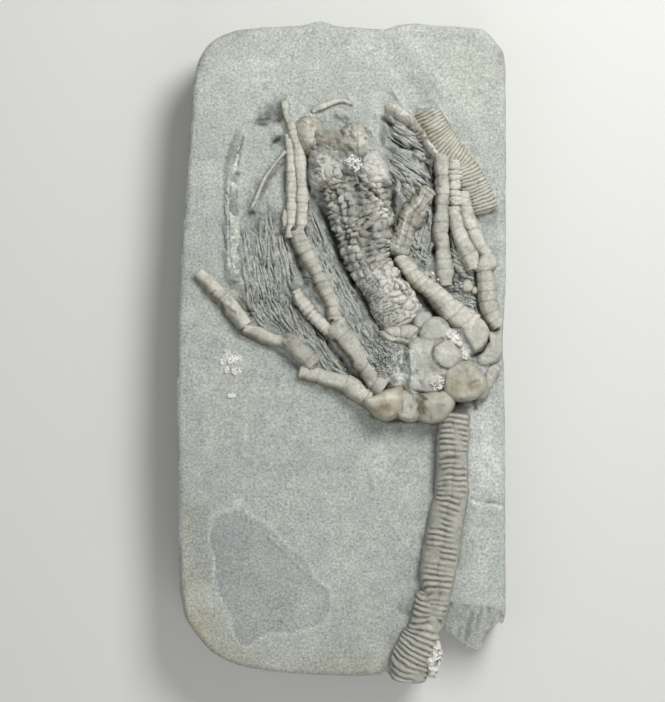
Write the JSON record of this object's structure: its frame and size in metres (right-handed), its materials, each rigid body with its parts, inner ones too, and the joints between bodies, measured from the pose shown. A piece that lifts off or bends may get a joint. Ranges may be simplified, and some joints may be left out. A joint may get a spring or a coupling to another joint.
{
  "type": "crinoid fossil",
  "caption": "Sea lily fossil with crown, arms and stem in low relief on the prepared face of a pale siltstone slab with one broken corner.",
  "frame": {"origin": "centre of the underside's bounding box, on the surface the slab lies on", "axes": "+Y from the stem to the tips of the arms, +Z out of the prepared face, +X to the right of the crown"},
  "size_m": [0.0558, 0.1122, 0.018],
  "materials": {
    "matrix": "pale greenish grey siltstone, prepared face matt and finely sanded, broken corner rough",
    "fossil": "cream calcite ossicles, matt, dust in the joints",
    "stained": "calcite cup plates stained brown and yellow by iron",
    "calcite": "white spar, freshly broken, slightly glossy"
  },
  "bodies": {
    "root": {"anal_sac": "fossil", "arm_a_base": "fossil", "arm_a_blade": "fossil", "arm_a_block": "fossil", "arm_a_middle": "fossil", "arm_a_tip": "fossil", "arm_b_left": "fossil", "arm_b_lower": "fossil", "arm_b_middle": "fossil", "arm_b_right": "fossil", "arm_b_spur": "fossil", "arm_c_base": "fossil", "arm_c_lower": "fossil", "arm_c_upper": "fossil", "arm_d_lower": "fossil", "arm_d_tip": "fossil", "arm_d_upper": "fossil", "arm_e_axillary": "fossil", "arm_e_left": "fossil", "arm_e_right": "fossil", "arm_e_trunk": "fossil", "arm_f_buried": "fossil", "calcite_patch": "calcite", "cup_plate_far_right": "fossil", "cup_plate_left": "stained", "cup_plate_lower": "stained", "cup_plate_middle": "fossil", "cup_plate_right": "stained", "cup_plate_round": "fossil", "cup_plate_small": "fossil", "cup_plate_top": "fossil", "cup_rim_right": "fossil", "curved_rod": "fossil", "matrix_slab": "matrix", "ossicle_row": "fossil", "sac_base_left": "fossil", "sac_base_right": "fossil", "sac_lobe_left": "fossil", "sac_lobe_right": "fossil", "sac_lump_left": "fossil", "sac_lump_right": "fossil", "sac_lump_yellow": "fossil", "sac_side_plate": "fossil", "stem_loose": "fossil", "stem_lower": "fossil", "stem_upper": "fossil", "thin_rod": "fossil"}
  },
  "joints": []
}
